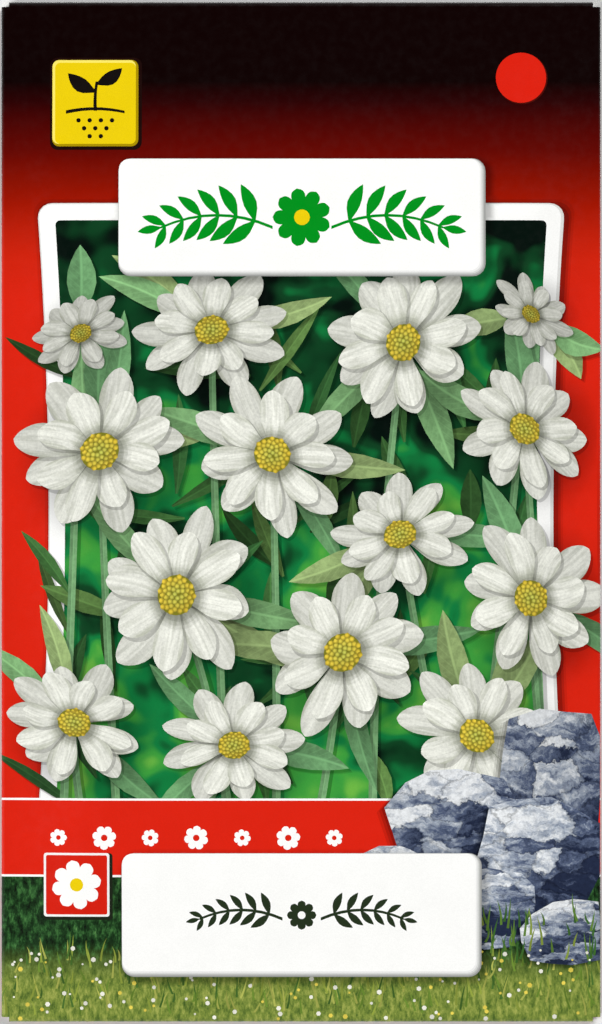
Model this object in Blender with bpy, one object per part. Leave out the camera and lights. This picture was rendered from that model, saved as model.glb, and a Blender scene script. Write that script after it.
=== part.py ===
"""A flat paper seed packet, lying on its back with its printed front up.

One die-cut sheet of paper is the whole envelope. Its middle is the front panel. The back panel
folds behind it round the left edge, a narrow tab folds behind it round the right edge and is
glued inside the back panel, and a flap at each end folds over and is glued to the back.
Inside lies a sachet of two sealed films, and in that the seeds.

X runs across the packet, Y up its height and Z out of its front. The origin is on the surface
that it rests on, under its middle. Everything is in metres.
"""

import math
import random

import bmesh
import bpy
from mathutils import Matrix, Vector

# Driving sizes of the packet
WIDTH = 0.094
HEIGHT = 0.160
PAPER = 0.00015
GLUE_GAP = 0.0002  # between two sheets that are glued to each other
GLUE = 0.00012
SIDE_TAB = 0.013
TOP_FLAP = 0.024
BOTTOM_FLAP = 0.017
FLAP_TAPER = 0.0035  # how much narrower a flap's free edge is, on each side
BACK_FREE_EDGE = 0.0012  # the back panel stops this far inside the right-hand fold
BELLY = 0.0028  # how far the filled front stands up over its edges
SAG = 0.00034  # how far the middle of the back comes down to the table
SACHET_Y = -0.010  # the sachet's middle, which is where the front stands highest

# Driving sizes of what is inside
SACHET_WIDTH = 0.062
SACHET_HEIGHT = 0.080
SEAL = 0.006  # width of the sachet's welded rim
FILM = 0.0001
SEED_LENGTH = 0.0014
SEED_WIDTH = 0.00046
SEED_COUNT = 150
SEED_SEED = 7

# Heights of the sheet's middle surface, from the table up
PLY_STEP = PAPER + GLUE_GAP
FLAP_Z = PAPER / 2
BACK_Z = FLAP_Z + PLY_STEP
TAB_Z = BACK_Z + PLY_STEP
RIGHT_FOLD = 0.00035  # bend radius of the middle surface at the right edge
FRONT_Z = TAB_Z + 2 * RIGHT_FOLD
LEFT_FOLD = (FRONT_Z - BACK_Z) / 2
END_FOLD = (FRONT_Z - FLAP_Z) / 2

HALF_WIDTH = WIDTH / 2 - PAPER / 2
HALF_HEIGHT = HEIGHT / 2 - PAPER / 2
LEFT_BEND = -(HALF_WIDTH - LEFT_FOLD)  # X where the front panel starts to turn down
RIGHT_BEND = HALF_WIDTH - RIGHT_FOLD
END_BEND = HALF_HEIGHT - END_FOLD  # Y where a flap starts to turn down
FLAP_ROOT = 0.0458  # half the width of a flap where it leaves the front panel

FRONT_CELLS, BACK_CELLS, TAB_CELLS = 20, 18, 3
HEIGHT_CELLS, FLAP_CELLS, BEND_CELLS = 30, 3, 4

RED = (0.69, 0.017, 0.005)
FOIL = (0.72, 0.73, 0.74)
GLUE_COLOUR = (0.80, 0.74, 0.58)
SEED_BROWN = (0.20, 0.12, 0.05)


def smooth(t):
    """0 to 1 with level ends, for t from 0 to 1."""
    t = min(max(t, 0.0), 1.0)
    return t * t * (3 - 2 * t)


def least(*values):
    """The least of some positive numbers, with a rounded crease where two of them meet."""
    sharpness = 5
    total = sum(max(v, 1e-4) ** -sharpness for v in values)
    return total ** (-1 / sharpness)


def belly(x, y):
    """How far the front panel stands up at x, y: a hipped roof with a flat top over the sachet."""
    side, foot, head = 0.017, 0.030, 0.052  # how far from each edge the slope runs
    left, right = x - LEFT_BEND, RIGHT_BEND - x
    down, up = y + END_BEND, END_BEND - y
    return BELLY * smooth(least(left / side, right / side, down / foot, up / head, 1.0))


def sag(x, y):
    """How far the back panel comes down at x, y, between its side seam and its two glued flaps."""
    slope = 0.014
    across = 0.032 - abs(x)
    foot = y + END_BEND - BOTTOM_FLAP - 0.002
    head = END_BEND - TOP_FLAP - 0.002 - y
    return SAG * smooth(least(across / slope, foot / slope, head / slope, 1.0))


def lay_out(start, end, cells):
    """Evenly spaced numbers from start to end, both included."""
    return [start + (end - start) * i / cells for i in range(cells + 1)]


def bend(turn, radius):
    """A place on a folded edge: how far out past the bend's start, and up from its lower end."""
    return radius * math.sin(turn), radius * (1 + math.cos(turn))


def tube_section():
    """The places across the sheet, from the back panel's free edge round the front to the tab's:
    (x, height of the middle surface, how much of belly it follows, how much of sag)."""
    places = []
    for x in lay_out(RIGHT_BEND - BACK_FREE_EDGE, LEFT_BEND, BACK_CELLS):
        places.append((x, BACK_Z, 0.0, 1.0))
    for turn in lay_out(math.pi, 0, BEND_CELLS)[1:-1]:
        x, z = bend(turn, LEFT_FOLD)
        places.append((LEFT_BEND - x, BACK_Z + z, 0.0, 0.0))
    for x in lay_out(-FLAP_ROOT, FLAP_ROOT, FRONT_CELLS):
        places.append((x, FRONT_Z, 1.0, 0.0))
    for turn in lay_out(0, math.pi, BEND_CELLS)[1:-1]:
        x, z = bend(turn, RIGHT_FOLD)
        places.append((RIGHT_BEND + x, TAB_Z + z, 0.0, 0.0))
    for x in lay_out(RIGHT_BEND, RIGHT_BEND - SIDE_TAB, TAB_CELLS):
        places.append((x, TAB_Z, 0.0, 0.0))
    return places


def flap_section(length):
    """The places along a flap, from the front panel on:
    (distance past END_BEND, height, share of the flap's length)."""
    places = []
    for turn in lay_out(0, math.pi, BEND_CELLS)[1:]:
        out, z = bend(turn, END_FOLD)
        places.append((out, FLAP_Z + z, 0.0))
    places += [(-share * length, FLAP_Z, share) for share in lay_out(0, 1, FLAP_CELLS)[1:]]
    return places


def envelope_sheet():
    """The folded sheet's middle surface, as one open mesh."""
    mesh = bmesh.new()
    section = tube_section()
    rows = []
    for y in lay_out(-END_BEND, END_BEND, HEIGHT_CELLS):
        rows.append([mesh.verts.new((x, y, z + up * belly(x, y) - down * sag(x, y)))
                     for x, z, up, down in section])
    for low, high in zip(rows, rows[1:]):
        for i in range(len(section) - 1):
            mesh.faces.new((low[i], low[i + 1], high[i + 1], high[i]))
    first = BACK_CELLS + BEND_CELLS  # the front panel's columns, in each row
    for root, side, length in ((rows[0], -1, BOTTOM_FLAP), (rows[-1], 1, TOP_FLAP)):
        last = root[first:first + FRONT_CELLS + 1]
        for out, z, share in flap_section(length):
            narrow = 1 - FLAP_TAPER / FLAP_ROOT * share
            row = [mesh.verts.new((v.co.x * narrow, side * (END_BEND + out), z))
                   for v in root[first:first + FRONT_CELLS + 1]]
            for i in range(FRONT_CELLS):
                corners = (last[i], last[i + 1], row[i + 1], row[i])
                mesh.faces.new(corners if side > 0 else corners[::-1])
            last = row
    return mesh


def material(name, colour, roughness, metallic=0.0):
    """A plain Principled finish."""
    made = bpy.data.materials.new(name)
    made.use_nodes = True
    shader = made.node_tree.nodes["Principled BSDF"]
    shader.inputs["Base Color"].default_value = (*colour, 1.0)
    shader.inputs["Roughness"].default_value = roughness
    shader.inputs["Metallic"].default_value = metallic
    return made


def add_object(name, mesh, finish):
    """An object in the scene from a bmesh, shaded smooth between its sharp edges."""
    bmesh.ops.recalc_face_normals(mesh, faces=mesh.faces)
    data = bpy.data.meshes.new(name)
    mesh.to_mesh(data)
    mesh.free()
    data.materials.append(finish)
    data.shade_smooth()
    data.set_sharp_from_angle(angle=math.radians(40))
    made = bpy.data.objects.new(name, data)
    bpy.context.scene.collection.objects.link(made)
    return made


def thicken(sheet, thickness):
    """Gives a sheet its thickness, half to each side of its middle surface."""
    wall = sheet.modifiers.new("thickness", "SOLIDIFY")
    wall.thickness = thickness
    wall.offset = 0.0
    wall.use_even_offset = True
    return sheet


def make_envelope(finish):
    """The printed paper: one folded sheet."""
    return thicken(add_object("envelope", envelope_sheet(), finish), PAPER)


def make_glue(name, x, y, width, height, z, finish):
    """A flat layer of dried glue with rounded corners, its middle at x, y, z."""
    radius = 0.002
    mesh = bmesh.new()
    ring = []
    for corner, (sx, sy) in enumerate(((1, 1), (-1, 1), (-1, -1), (1, -1))):
        for turn in lay_out(corner * math.pi / 2, (corner + 1) * math.pi / 2, 4):
            ring.append(mesh.verts.new((
                x + sx * (width / 2 - radius) + radius * math.cos(turn),
                y + sy * (height / 2 - radius) + radius * math.sin(turn),
                z - GLUE / 2,
            )))
    floor = mesh.faces.new(ring)
    top = bmesh.ops.extrude_face_region(mesh, geom=[floor])["geom"]
    bmesh.ops.translate(mesh, vec=(0, 0, GLUE), verts=[v for v in top if isinstance(v, bmesh.types.BMVert)])
    return add_object(name, mesh, finish)


def make_glues(finish):
    """The three glued joints: the side tab inside the back panel, and a flap at each end."""
    inset = 0.0015  # the glue stops this far inside the paper's edges
    seam_width = SIDE_TAB - BACK_FREE_EDGE - 2 * inset
    seam_x = RIGHT_BEND - BACK_FREE_EDGE - inset - seam_width / 2
    seam_height = 2 * (END_BEND - inset)
    make_glue("side_seam_glue", seam_x, 0, seam_width, seam_height, (BACK_Z + TAB_Z) / 2, finish)
    flap_z = (FLAP_Z + BACK_Z) / 2
    for name, side, length in (("bottom_flap_glue", -1, BOTTOM_FLAP), ("top_flap_glue", 1, TOP_FLAP)):
        depth = length - 2 * inset - END_FOLD
        y = side * (END_BEND - inset - END_FOLD - depth / 2)
        make_glue(name, 0, y, 2 * (FLAP_ROOT - FLAP_TAPER - inset), depth, flap_z, finish)


SEAL_Z = 0.00100  # height of the plane between the sachet's two films, at its rim
FILM_GAP = 0.0001
POUCH_UP, POUCH_DOWN = 0.0027, 0.0004


def pouch(x, y):
    """0 on the sachet's welded rim, rising to 1 in its middle."""
    side = (SACHET_WIDTH / 2 - SEAL - abs(x)) / 0.011
    end = (SACHET_HEIGHT / 2 - SEAL - abs(y - SACHET_Y)) / 0.015
    return smooth(least(side, end, 1.0)) if side > 0 and end > 0 else 0.0


def make_film(name, side, swell, finish):
    """One of the sachet's two films: side is 1 for the upper and -1 for the lower."""
    across, along = 14, 18
    mesh = bmesh.new()
    z = SEAL_Z + side * (FILM_GAP + FILM) / 2
    rows = [[mesh.verts.new((x, y, z + side * swell * pouch(x, y)))
             for x in lay_out(-SACHET_WIDTH / 2, SACHET_WIDTH / 2, across)]
            for y in lay_out(SACHET_Y - SACHET_HEIGHT / 2, SACHET_Y + SACHET_HEIGHT / 2, along)]
    for low, high in zip(rows, rows[1:]):
        for i in range(across):
            mesh.faces.new((low[i], low[i + 1], high[i + 1], high[i]))
    return thicken(add_object(name, mesh, finish), FILM)


HEAP_WIDTH, HEAP_HEIGHT, HEAP_DEPTH = 0.028, 0.036, 0.0010
HEAP_Y = SACHET_Y - 0.004
HEAP_Z = SEAL_Z + 0.00050  # height of the heap's middle


def seed_mesh():
    """A slim spindle with five sides, one end blunter than the other."""
    sides = 5
    mesh = bmesh.new()
    rings = []
    for along, girth in ((-0.22, 0.92), (0.16, 0.80)):
        rings.append([mesh.verts.new((
            SEED_LENGTH * along,
            SEED_WIDTH / 2 * girth * math.cos(2 * math.pi * i / sides),
            SEED_WIDTH / 2 * girth * math.sin(2 * math.pi * i / sides),
        )) for i in range(sides)])
    ends = [mesh.verts.new((SEED_LENGTH * end, 0, 0)) for end in (-0.46, 0.54)]
    for i in range(sides):
        after = (i + 1) % sides
        mesh.faces.new((rings[0][i], rings[0][after], rings[1][after], rings[1][i]))
        mesh.faces.new((ends[0], rings[0][after], rings[0][i]))
        mesh.faces.new((ends[1], rings[1][i], rings[1][after]))
    return mesh


def heap_top(x, y):
    """Height of the heap's smooth core above its middle, or None outside it."""
    inside = 1 - (2 * x / HEAP_WIDTH) ** 2 - (2 * y / HEAP_HEIGHT) ** 2
    return HEAP_DEPTH / 2 * math.sqrt(inside) if inside > 0 else None


def make_seeds(finish):
    """The seeds as one heap: a thin core that every seed is rooted in and stands out of."""
    core = bmesh.new()
    bmesh.ops.create_uvsphere(core, u_segments=20, v_segments=8, radius=0.5)
    bmesh.ops.scale(core, vec=(HEAP_WIDTH, HEAP_HEIGHT, HEAP_DEPTH), verts=core.verts)
    bmesh.ops.translate(core, vec=(0, HEAP_Y, HEAP_Z), verts=core.verts)
    heap = add_object("seeds", core, finish)

    loose = bpy.data.collections.new("loose_seeds")
    bpy.context.scene.collection.children.link(loose)
    draw = random.Random(SEED_SEED)
    shape = seed_mesh()
    data = bpy.data.meshes.new("seed")
    bmesh.ops.recalc_face_normals(shape, faces=shape.faces)
    shape.to_mesh(data)
    shape.free()
    golden = math.pi * (3 - math.sqrt(5))
    for i in range(SEED_COUNT):
        reach = math.sqrt((i + 0.5) / SEED_COUNT) * 0.97
        turn = golden * i + draw.uniform(-0.2, 0.2)
        x = reach * HEAP_WIDTH / 2 * math.cos(turn)
        y = reach * HEAP_HEIGHT / 2 * math.sin(turn)
        side = 1 if i % 3 else -1
        z = side * heap_top(x, y) * 0.95
        seed = bpy.data.objects.new(f"seed_{i}", data)
        tilt = Matrix.Rotation(draw.uniform(-0.25, 0.25), 4, "Y")
        seed.matrix_world = (Matrix.Translation(Vector((x, y + HEAP_Y, z + HEAP_Z)))
                             @ Matrix.Rotation(draw.uniform(0, math.tau), 4, "Z") @ tilt)
        loose.objects.link(seed)

    join = heap.modifiers.new("join", "BOOLEAN")
    join.operation = "UNION"
    join.operand_type = "COLLECTION"
    join.collection = loose
    join.solver = "MANIFOLD"
    bpy.context.view_layer.update()
    joined = bpy.data.meshes.new_from_object(heap.evaluated_get(bpy.context.evaluated_depsgraph_get()))
    heap.modifiers.remove(join)
    heap.data = joined
    for seed in list(loose.objects):
        bpy.data.objects.remove(seed)
    bpy.data.collections.remove(loose)
    return heap


def main():
    for old in list(bpy.data.objects):
        bpy.data.objects.remove(old)
    paper = material("printed_paper", RED, 0.42)
    glue = material("dried_glue", GLUE_COLOUR, 0.5)
    foil = material("sachet_film", FOIL, 0.3, metallic=0.6)
    seed = material("seed_husk", SEED_BROWN, 0.7)
    make_envelope(paper)
    make_glues(glue)
    make_film("sachet_upper_film", 1, POUCH_UP, foil)
    make_film("sachet_lower_film", -1, POUCH_DOWN, foil)
    make_seeds(seed)


main()
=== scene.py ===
"""Looks of the seed packet: its printed paper, the sachet and seeds in it, a plain floor and soft light.

The print is drawn as flat shapes on the unfolded sheet, which is then folded as the CAD sheet is.
Lengths are in millimetres until a mesh is made, and in metres in the materials, the light and the camera.
"""
import math
import random

import bpy
import numpy as np
from mathutils import Matrix, Vector
from mathutils.geometry import delaunay_2d_cdt


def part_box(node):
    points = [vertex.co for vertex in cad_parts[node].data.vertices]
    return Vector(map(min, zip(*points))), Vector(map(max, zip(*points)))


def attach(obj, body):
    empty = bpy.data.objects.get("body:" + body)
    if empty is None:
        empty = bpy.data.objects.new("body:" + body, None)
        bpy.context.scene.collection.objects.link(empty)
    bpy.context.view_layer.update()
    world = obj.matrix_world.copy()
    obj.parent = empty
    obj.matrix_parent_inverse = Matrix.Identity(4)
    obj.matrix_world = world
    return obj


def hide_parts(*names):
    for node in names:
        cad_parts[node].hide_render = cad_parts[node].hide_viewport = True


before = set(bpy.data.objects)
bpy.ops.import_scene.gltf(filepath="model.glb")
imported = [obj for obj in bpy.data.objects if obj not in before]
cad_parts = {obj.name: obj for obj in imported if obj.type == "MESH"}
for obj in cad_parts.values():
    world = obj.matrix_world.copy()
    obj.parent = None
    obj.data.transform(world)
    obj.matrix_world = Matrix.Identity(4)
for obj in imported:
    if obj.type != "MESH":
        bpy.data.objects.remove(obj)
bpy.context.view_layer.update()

MM = 0.001

# The folded sheet, as in the CAD model
WIDTH, HEIGHT, PAPER, GLUE_GAP = 94.0, 160.0, 0.15, 0.2
SIDE_TAB, TOP_FLAP, BOTTOM_FLAP, FLAP_TAPER = 13.0, 24.0, 17.0, 3.5
BACK_FREE_EDGE, FLAP_ROOT, FLAP_CORNER = 1.2, 45.8, 3.0
BELLY, SAG = 2.8, 0.34
FLAP_Z = PAPER / 2
BACK_Z = FLAP_Z + PAPER + GLUE_GAP
TAB_Z = BACK_Z + PAPER + GLUE_GAP
RIGHT_FOLD = 0.35
FRONT_Z = TAB_Z + 2 * RIGHT_FOLD
LEFT_FOLD = (FRONT_Z - BACK_Z) / 2
END_FOLD = (FRONT_Z - FLAP_Z) / 2
LEFT_BEND = -(WIDTH / 2 - PAPER / 2 - LEFT_FOLD)
RIGHT_BEND = WIDTH / 2 - PAPER / 2 - RIGHT_FOLD
END_BEND = HEIGHT / 2 - PAPER / 2 - END_FOLD
BACK_START = LEFT_BEND - math.pi * LEFT_FOLD
BACK_END = BACK_START - (RIGHT_BEND - BACK_FREE_EDGE - LEFT_BEND)
TAB_START = RIGHT_BEND + math.pi * RIGHT_FOLD
TAB_END = TAB_START + SIDE_TAB
FLAP_START = END_BEND + math.pi * END_FOLD
FOOT, HEAD = -FLAP_START - BOTTOM_FLAP, FLAP_START + TOP_FLAP

# The sachet, as in the CAD model
SACHET_Y, SACHET_WIDTH, SACHET_HEIGHT = -10.0, 62.0, 80.0
SEAL, FILM, POUCH_UP, POUCH_DOWN = 6.0, 0.09, 2.7, 0.4

# Where the parts of the print are. A box is left, bottom, right, top; a disc is x, y, radius.
NAME_PLATE = (-28.6, 36.9, 28.9, 55.4)
TITLE_PLATE = (-28.1, -72.9, 28.3, -53.4)
YELLOW_SIGN = (-39.0, 57.3, -25.5, 70.9)
PRICE_DISC = (34.5, 68.1, 3.95)
BADGE = (-40.3, -63.4, -30.0, -53.4)
PANEL = (-41.4, -50.0, 41.4, 48.4)
PANEL_BORDER, PANEL_BOW = 2.7, 0.045
BAND_LOW, BAND_HIGH, BAND_LINE = -57.0, -45.0, 0.34
FRONT_REACH = 47.5  # how far the bands run to each side on the flat sheet, into the folds

# How fine the mesh of the sheet is. A longer straight edge would cut through the curve of the paper.
LONGEST_EDGE, FRONT_GRID, PICTURE_GRID, BACK_GRID = 2.4, 2.4, 1.5, 6.0

FLOOR_RADIUS, FLOOR_DROP = 2.6, 0.00002
CAMERA_HEIGHT, CAMERA_MARGIN = 1.1, 1.004
EDGE_HEIGHT = 0.0015  # about how high the print stands at the packet's edges


def ink(code, tone=1.0):
    """Linear red, green and blue from a hex colour, made darker or lighter by tone."""
    parts = [int(code[i:i + 2], 16) / 255 for i in (1, 3, 5)]
    return tuple(tone * (c / 12.92 if c <= 0.04045 else ((c + 0.055) / 1.055) ** 2.4) for c in parts)


WHITE = ink("#fbfbf8")
BLACK = ink("#120d0b")
RED = ink("#d82310")
BAND_RED = ink("#da2311")
YELLOW = ink("#ebcd0a")
GREEN = ink("#008f1c")
DARK_GREEN = ink("#26331f")
CREAM = ink("#f4efdf")
PLAIN = (1.0, 1.0, 1.0)

FINISHES = ("ground", "flat_ink", "backdrop", "petal", "leaf", "floret", "rock", "meadow", "bare_paper")


# The folded sheet

def smooth(t):
    """0 to 1 with level ends, for arrays of any numbers."""
    t = np.clip(t, 0.0, 1.0)
    return t * t * (3 - 2 * t)


def least(*values):
    """The least of some positive numbers, with a rounded crease where two of them meet."""
    total = sum(np.maximum(v, 1e-4) ** -5.0 for v in values)
    return total ** -0.2


def ripples(x, y):
    """The small unevenness of filled paper: soft waves, and the sachet's edge showing through."""
    waves = (np.sin(0.21 * x + 0.9 * np.sin(0.055 * y)) * np.sin(0.13 * y + 0.7)
             + 0.6 * np.sin(0.34 * x - 0.23 * y + 1.3) + 0.5 * np.sin(0.11 * x + 0.37 * y))
    side = SACHET_WIDTH / 2 - np.abs(x)
    end = SACHET_HEIGHT / 2 - np.abs(y - SACHET_Y)
    return 0.022 * (waves - 1.2) + 0.045 * np.exp(-(np.minimum(side, end) / 1.1) ** 2)


def belly(x, y):
    """How far the front stands up over its edges, with ripples that fade out towards them."""
    side, foot, head, rim = 17, 30, 52, 9  # how far from each edge the slopes run
    left, right = x - LEFT_BEND, RIGHT_BEND - x
    down, up = y + END_BEND, END_BEND - y
    rise = smooth(least(left / side, right / side, down / foot, up / head, 1.0))
    calm = smooth(np.minimum(np.minimum(left, right), np.minimum(down, up)) / rim)
    return BELLY * rise + calm * ripples(x, y)


def sag(x, y):
    """How far the back comes down to the table, between its side seam and its two glued flaps."""
    slope, half, clear = 14, 32, 2
    foot = y + END_BEND - BOTTOM_FLAP - clear
    head = END_BEND - TOP_FLAP - clear - y
    return SAG * smooth(least((half - np.abs(x)) / slope, foot / slope, head / slope, 1.0))


def sheet(s, v):
    """Where the middle of the folded paper runs, for places s across and v up the flat sheet."""
    left = np.clip((LEFT_BEND - s) / LEFT_FOLD, 0, math.pi)
    right = np.clip((s - RIGHT_BEND) / RIGHT_FOLD, 0, math.pi)
    behind = np.maximum(BACK_START - s, 0)
    tab = np.maximum(s - TAB_START, 0)
    x = np.clip(s, LEFT_BEND, RIGHT_BEND)
    x = x - LEFT_FOLD * np.sin(left) + RIGHT_FOLD * np.sin(right) + behind - tab
    z = FRONT_Z - LEFT_FOLD * (1 - np.cos(left)) - RIGHT_FOLD * (1 - np.cos(right))
    on_front, on_back = (left == 0) & (right == 0), behind > 0
    z = z + np.where(on_front, belly(x, v), 0.0) - np.where(on_back, sag(x, v), 0.0)
    turn = np.clip((np.abs(v) - END_BEND) / END_FOLD, 0, math.pi)
    flap = np.maximum(np.abs(v) - FLAP_START, 0)
    y = np.sign(v) * (np.minimum(np.abs(v), END_BEND) + END_FOLD * np.sin(turn) - flap)
    return np.stack([x, y, z - END_FOLD * (1 - np.cos(turn))], axis=-1)


def sheet_normals(s, v):
    """The unit normals of the folded paper's outer side."""
    step = 0.004
    across = sheet(s + step, v) - sheet(s - step, v)
    along = sheet(s, v + step) - sheet(s, v - step)
    normal = np.cross(across, along)
    return normal / np.linalg.norm(normal, axis=-1, keepdims=True)


# Outlines

def plain_box(left, low, right, top):
    """The outline of a box, anticlockwise."""
    return [(left, low), (right, low), (right, top), (left, top)]


def strip(low, high):
    """A box over the whole width of the front."""
    return plain_box(-FRONT_REACH, low, FRONT_REACH, high)


def rounded_box(left, low, right, top, radius, steps=5):
    """The outline of a box with round corners, anticlockwise."""
    outline = []
    for corner, (x, y) in enumerate(((right, top), (left, top), (left, low), (right, low))):
        x += radius if x == left else -radius
        y += radius if y == low else -radius
        for i in range(steps + 1):
            turn = (corner + i / steps) * math.pi / 2
            outline.append((x + radius * math.cos(turn), y + radius * math.sin(turn)))
    return outline


def ring(x, y, radius, sides=24, start=0.0):
    """The outline of a circle."""
    turns = [start + math.tau * i / sides for i in range(sides)]
    return [(x + radius * math.cos(turn), y + radius * math.sin(turn)) for turn in turns]


def grown(box, by, shift=(0.0, 0.0)):
    """A box with every side moved out, and then the whole moved."""
    left, low, right, top = box
    return left - by + shift[0], low - by + shift[1], right + by + shift[0], top + by + shift[1]


def middle_of(box):
    """The middle of a box."""
    return (box[0] + box[2]) / 2, (box[1] + box[3]) / 2


def spread(outline, step):
    """Points along a closed outline, no further apart than step."""
    places = []
    for a, b in zip(outline, outline[1:] + outline[:1]):
        pieces = max(1, math.ceil(math.dist(a, b) / step))
        for i in range(pieces):
            places.append((a[0] + (b[0] - a[0]) * i / pieces, a[1] + (b[1] - a[1]) * i / pieces))
    return places


def bowed(outline):
    """An outline whose sides curve in towards the middle of the panel's height."""
    middle, reach = (PANEL[1] + PANEL[3]) / 2, (PANEL[3] - PANEL[1]) / 2
    return [(x * (1 - PANEL_BOW * (1 - ((y - middle) / reach) ** 2)), y)
            for x, y in spread(outline, LONGEST_EDGE)]


def smoother(profile, pieces=2):
    """A profile with further points between its own, on a smooth curve through them."""
    ends = [profile[0], *profile, profile[-1]]
    finer = []
    for corners in zip(ends, ends[1:], ends[2:], ends[3:]):
        for i in range(pieces):
            t = i / pieces
            point = []
            for a, b, c, d in zip(*corners):
                bend = 2 * a - 5 * b + 4 * c - d + t * (3 * (b - c) + d - a)
                point.append(b + 0.5 * t * (c - a + t * bend))
            finer.append(tuple(point))
    return (*finer, profile[-1])


# Half widths of petals, leaves, stems and grass, by how far along they are
PETAL = smoother(((0.0, 0.34), (0.2, 0.60), (0.4, 0.88), (0.58, 1.0), (0.74, 0.93), (0.87, 0.68),
                  (0.96, 0.35), (1.0, 0.0)))
BLUNT_PETAL = smoother(((0.0, 0.35), (0.35, 0.8), (0.65, 1.0), (0.88, 0.75), (1.0, 0.0)), 3)
LEAF = ((0.0, 0.16), (0.12, 0.42), (0.28, 0.80), (0.45, 1.0), (0.62, 0.93), (0.78, 0.66), (0.91, 0.32),
        (1.0, 0.0))
STEM = tuple((i / 8, 1.0 - 0.25 * i / 8) for i in range(9))
GRASS = ((0.0, 1.0), (0.35, 0.85), (0.7, 0.5), (1.0, 0.0))


# Shapes of the print

class Print:
    """Shapes printed on the flat sheet, each over the ones before it."""

    def __init__(self):
        self.outlines, self.finishes, self.colours, self.places, self.seeds = [], [], [], [], []
        self.shades, self.shadows, self.points, self.lines = [], {}, [], []

    def add(self, outline, finish, colour, place=None, seed=0.0):
        """A shape: its outline, one of FINISHES, its colour, and what gives a place its own coordinates.
        One with the finish "shadow" is see-through, and its colour is how much light it leaves."""
        if finish == "shadow":
            self.shadows[len(self.outlines)] = colour
            finish, colour = FINISHES[0], PLAIN
        area = sum(a[0] * b[1] - b[0] * a[1] for a, b in zip(outline, outline[1:] + outline[:1]))
        self.outlines.append(spread(outline if area > 0 else outline[::-1], LONGEST_EDGE))
        self.finishes.append(FINISHES.index(finish))
        self.colours.append(colour)
        self.places.append(place or (lambda x, y: (x, y)))
        self.seeds.append(seed)

    def shade(self, darkness):
        """Everything printed so far gets darker by a function of its place."""
        self.shades.append((len(self.outlines), darkness))

    def blade(self, root, tip, width, profile, finish, colour, bend=0.0, seed=0.0, lean=None):
        """A petal, leaf or stem from root to tip; lean is the middle and the squash of a tilted flower.
        Its own coordinates are -1 to 1 across, and 0 to 1 along."""
        root, tip = Vector(root), Vector(tip)
        along = tip - root
        across = Vector((-along.y, along.x)).normalized() * width / 2
        if lean is not None:
            centre, squash = lean
            root = centre + squash @ (root - centre)
            along, across = squash @ along, squash @ across
        to_sheet = Matrix(((across.x, along.x), (across.y, along.y)))
        to_shape = to_sheet.inverted()

        def place(x, y):
            dx, dy = x - root.x, y - root.y
            u = to_shape[0][0] * dx + to_shape[0][1] * dy
            v = to_shape[1][0] * dx + to_shape[1][1] * dy
            return u - bend * 4 * v * (1 - v), v

        def on_sheet(u, v):
            return tuple(root + to_sheet @ Vector((u + bend * 4 * v * (1 - v), v)))

        sides = [on_sheet(w, v) for v, w in profile]
        others = [on_sheet(-w, v) for v, w in reversed(profile) if w > 0]
        self.add(sides + others, finish, colour, place, seed)


def draw_petals(page, draw, centre, radius, tone, start, lean):
    """Two rings of petals in mixed order, the shorter ring on top, each petal with its shadow."""
    reach = radius * 0.16
    for layer, (count, longer, dim) in enumerate(((9, 1.06, 0.84), (8, 0.86, 1.0))):
        order = list(range(count))
        draw.shuffle(order)
        for i in order:
            angle = start + math.tau * (i + layer * 0.4) / count + draw.uniform(-0.10, 0.10)
            length = radius * longer * draw.uniform(0.86, 1.06)
            way = Vector((math.cos(angle), math.sin(angle)))
            width = radius * draw.uniform(0.37, 0.44) * (1.0 - 0.08 * layer)
            bright = tone * dim * draw.uniform(0.93, 1.04)
            bend = draw.uniform(-0.30, 0.30)
            root, tip = centre + way * reach, centre + way * length
            drop = Vector((0.030, -0.038)) * radius
            page.blade(root + drop, tip + drop, width * 1.08, PETAL, "shadow", 0.66, bend, lean=lean)
            page.blade(root, tip, width, PETAL, "petal", ink("#f2f3e8", bright), bend, draw.random(), lean)


def draw_disc(page, draw, centre, radius, tone, start, lean):
    """The flower's middle: a spiral of small domes over its own shadow."""
    disc, florets = radius * 0.235, 48
    x, y = centre

    def leant(outline):
        return [tuple(centre + lean[1] @ (Vector(p) - centre)) for p in outline]

    for more, left in ((1.55, 0.90), (1.35, 0.86), (1.15, 0.80)):
        page.add(leant(ring(x + 0.03 * radius, y - 0.04 * radius, disc * more, 20)), "shadow", left)
    page.add(leant(ring(x, y, disc, 20)), "flat_ink", ink("#7d7a24", tone))
    for i in range(florets):
        out = math.sqrt((i + 0.5) / florets) * 0.93
        angle = i * math.pi * (3 - math.sqrt(5)) + start
        fx, fy = x + disc * out * math.cos(angle), y + disc * out * math.sin(angle)
        size = disc * (0.125 + 0.035 * out)
        colour = [a + (b - a) * out for a, b in zip(ink("#c3c95a"), ink("#e9c83c"))]
        bright = tone * (1.0 - 0.22 * max(0.0, math.cos(angle + 0.9)) * out) * draw.uniform(0.9, 1.05)

        def place(px, py, fx=fx, fy=fy, size=size):
            return (px - fx) / size, (py - fy) / size

        page.add(leant(ring(fx, fy, size, 6, angle)), "floret", tuple(c * bright for c in colour), place)


def draw_flower(page, draw, x, y, radius, squash, turn, tone):
    """A generic daisy: two rings of narrow petals round a domed disc, seen at a slant."""
    centre = Vector((x, y))
    tilt = Matrix.Rotation(turn, 2)
    lean = (centre, tilt @ Matrix(((1.0, 0.0), (0.0, squash))) @ tilt.transposed())

    def darkness(px, py):
        away = np.hypot(px - x - 0.10 * radius, py - y + 0.12 * radius) / radius
        return 1 - 0.50 * tone * (1 - smooth((away - 0.62) / 0.55))

    page.shade(darkness)
    start = draw.uniform(0, math.tau)
    draw_petals(page, draw, centre, radius, tone, start, lean)
    draw_disc(page, draw, centre, radius, tone, start, lean)


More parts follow.
